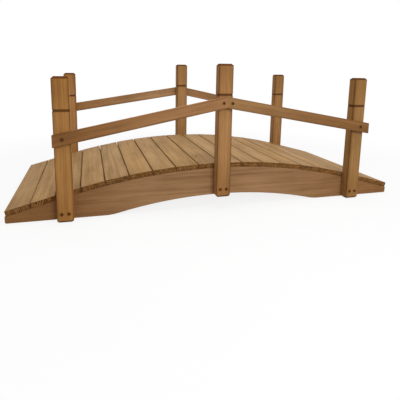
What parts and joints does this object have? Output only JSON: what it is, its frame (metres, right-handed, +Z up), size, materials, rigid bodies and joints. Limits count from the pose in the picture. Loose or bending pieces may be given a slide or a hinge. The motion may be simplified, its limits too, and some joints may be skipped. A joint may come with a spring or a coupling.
{
  "type": "arched garden footbridge",
  "caption": "Low arched timber footbridge: planks follow the curved side stringers, with grooved posts on their outer faces and sloping handrails between the posts.",
  "frame": {"origin": "on the ground, at the middle of the bridge's length and width", "axes": "+X along the bridge from its left end to its right end, +Y from the front side to the back side, +Z up"},
  "size_m": [1.4986, 0.728, 0.532],
  "materials": {
    "stringer_wood": "stained softwood, matt",
    "deck_wood": "stained softwood, matt",
    "post_wood": "stained softwood, matt",
    "rail_wood": "stained softwood, matt"
  },
  "bodies": {
    "root": {"front_stringer": "stringer_wood", "back_stringer": "stringer_wood", "front_left_post": "post_wood", "front_middle_post": "post_wood", "front_right_post": "post_wood", "back_left_post": "post_wood", "back_middle_post": "post_wood", "back_right_post": "post_wood", "front_left_rail": "rail_wood", "front_right_rail": "rail_wood", "back_left_rail": "rail_wood", "back_right_rail": "rail_wood", "deck_plank_01": "deck_wood", "deck_plank_02": "deck_wood", "deck_plank_03": "deck_wood", "deck_plank_04": "deck_wood", "deck_plank_05": "deck_wood", "deck_plank_06": "deck_wood", "deck_plank_07": "deck_wood", "deck_plank_08": "deck_wood", "deck_plank_09": "deck_wood", "deck_plank_10": "deck_wood", "deck_plank_11": "deck_wood", "deck_plank_12": "deck_wood", "deck_plank_13": "deck_wood", "deck_plank_14": "deck_wood", "deck_plank_15": "deck_wood", "deck_plank_16": "deck_wood", "deck_plank_17": "deck_wood", "deck_plank_18": "deck_wood"}
  },
  "joints": []
}
